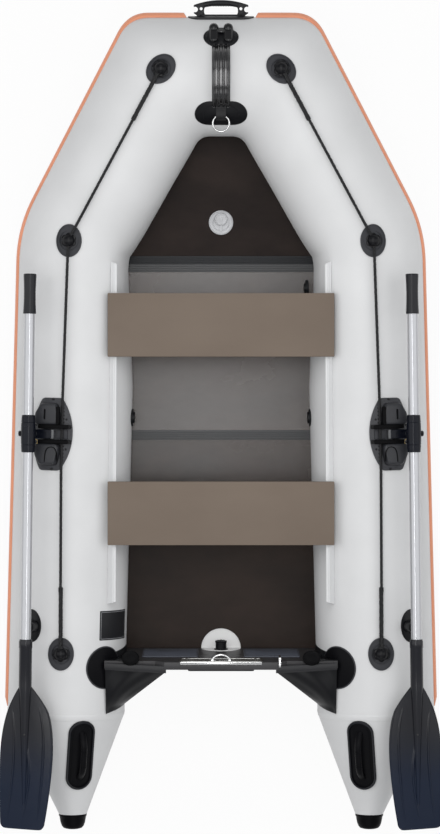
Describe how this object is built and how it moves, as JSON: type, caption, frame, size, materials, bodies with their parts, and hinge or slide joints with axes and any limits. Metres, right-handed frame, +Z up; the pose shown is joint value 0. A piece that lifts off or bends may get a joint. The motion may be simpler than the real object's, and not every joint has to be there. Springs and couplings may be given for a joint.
{
  "type": "inflatable boat",
  "caption": "Inflatable rowing boat with grey tubes, plank floor, transom, sliding bench seats and oars in tilting swivel rowlocks.",
  "frame": {"origin": "on the ground, on the centre line, under the middle of the boat's whole length", "axes": "+Y to the bow, +X to starboard, +Z up"},
  "size_m": [1.4802, 2.81, 0.5324],
  "materials": {
    "grey_pvc": "semi-gloss coated",
    "floor_ply": "film-faced, satin",
    "seat_ply": "varnished, satin",
    "black_ply": "painted, semi-gloss",
    "black_plastic": "moulded, satin",
    "grip_rubber": "moulded, matte",
    "blade_plastic": "moulded, semi-gloss",
    "orange_strake": "extruded, satin",
    "aluminium": "anodised, satin",
    "steel": "polished",
    "rope": "braided",
    "black_pvc": "semi-gloss coated",
    "pale_plastic": "moulded, semi-gloss"
  },
  "bodies": {
    "hull": {"bow_tube": "grey_pvc", "port_shoulder_tube": "grey_pvc", "starboard_shoulder_tube": "grey_pvc", "port_side_tube": "grey_pvc", "starboard_side_tube": "grey_pvc", "port_stern_cone": "grey_pvc", "starboard_stern_cone": "grey_pvc", "stern_end_caps": "grip_rubber", "bottom_sheet": "grey_pvc", "bow_bottom_sheet": "grey_pvc", "bow_board": "floor_ply", "fore_floor_board": "floor_ply", "middle_floor_board": "floor_ply", "aft_floor_board": "floor_ply", "floor_profiles": "aluminium", "keel_valve": "pale_plastic", "drain_valve": "black_plastic", "transom_board": "black_ply", "transom_pads": "black_pvc", "transom_gussets": "black_pvc", "inner_clamp_plate": "aluminium", "outer_motor_pad": "black_plastic", "port_rub_strake": "orange_strake", "starboard_rub_strake": "orange_strake", "bow_handle": "black_plastic", "bow_fairlead": "black_plastic", "bow_grab_handle": "grip_rubber", "tow_patch": "black_pvc", "tow_ring": "steel", "lifeline_holders": "black_plastic", "lifelines": "rope", "seat_rails": "grey_pvc", "rowlock_bases": "black_plastic", "oar_rests": "black_plastic", "stern_handles": "grip_rubber", "air_valves": "pale_plastic"},
    "front_seat": {"front_seat": "seat_ply"},
    "rear_seat": {"rear_seat": "seat_ply"},
    "starboard_rowlock_arm": {"starboard_rowlock_arm": "black_plastic"},
    "starboard_oar_collar": {"starboard_oar_collar": "black_plastic", "starboard_thumbscrew": "black_plastic"},
    "starboard_oar": {"starboard_oar_shaft": "aluminium", "starboard_oar_grip": "grip_rubber", "starboard_oar_blade": "blade_plastic"},
    "port_rowlock_arm": {"port_rowlock_arm": "black_plastic"},
    "port_oar_collar": {"port_oar_collar": "black_plastic", "port_thumbscrew": "black_plastic"},
    "port_oar": {"port_oar_shaft": "aluminium", "port_oar_grip": "grip_rubber", "port_oar_blade": "blade_plastic"}
  },
  "joints": [
    {"name": "front_seat_slide", "type": "slide", "parent": "hull", "child": "front_seat", "axis": [0, 1, 0], "range_m": [-0.2, 0.105]},
    {"name": "rear_seat_slide", "type": "slide", "parent": "hull", "child": "rear_seat", "axis": [0, 1, 0], "range_m": [-0.195, 0.2]},
    {"name": "starboard_oar_lift", "type": "hinge", "parent": "hull", "child": "starboard_rowlock_arm", "pos_m": [0.56321, -0.06055, 0.41162], "axis": [0.0256, -0.9997, 0], "range_deg": [0, 30]},
    {"name": "starboard_oar_swing", "type": "hinge", "parent": "starboard_rowlock_arm", "child": "starboard_oar_collar", "pos_m": [0.64075, -0.05857, 0.44451], "axis": [0.2755, 0.007, 0.9613], "range_deg": [0, 180]},
    {"name": "starboard_oar_feather", "type": "hinge", "parent": "starboard_oar_collar", "child": "starboard_oar", "pos_m": [0.64075, -0.05857, 0.44451], "axis": [-0.0116, 0.9999, -0.004], "range_deg": [0, 90]},
    {"name": "port_oar_lift", "type": "hinge", "parent": "hull", "child": "port_rowlock_arm", "pos_m": [-0.56321, -0.06055, 0.41162], "axis": [0.0256, 0.9997, 0], "range_deg": [0, 30]},
    {"name": "port_oar_swing", "type": "hinge", "parent": "port_rowlock_arm", "child": "port_oar_collar", "pos_m": [-0.64075, -0.05857, 0.44451], "axis": [0.2755, -0.007, -0.9613], "range_deg": [0, 180]},
    {"name": "port_oar_feather", "type": "hinge", "parent": "port_oar_collar", "child": "port_oar", "pos_m": [-0.64075, -0.05857, 0.44451], "axis": [-0.0116, -0.9999, 0.004], "range_deg": [0, 90]}
  ]
}
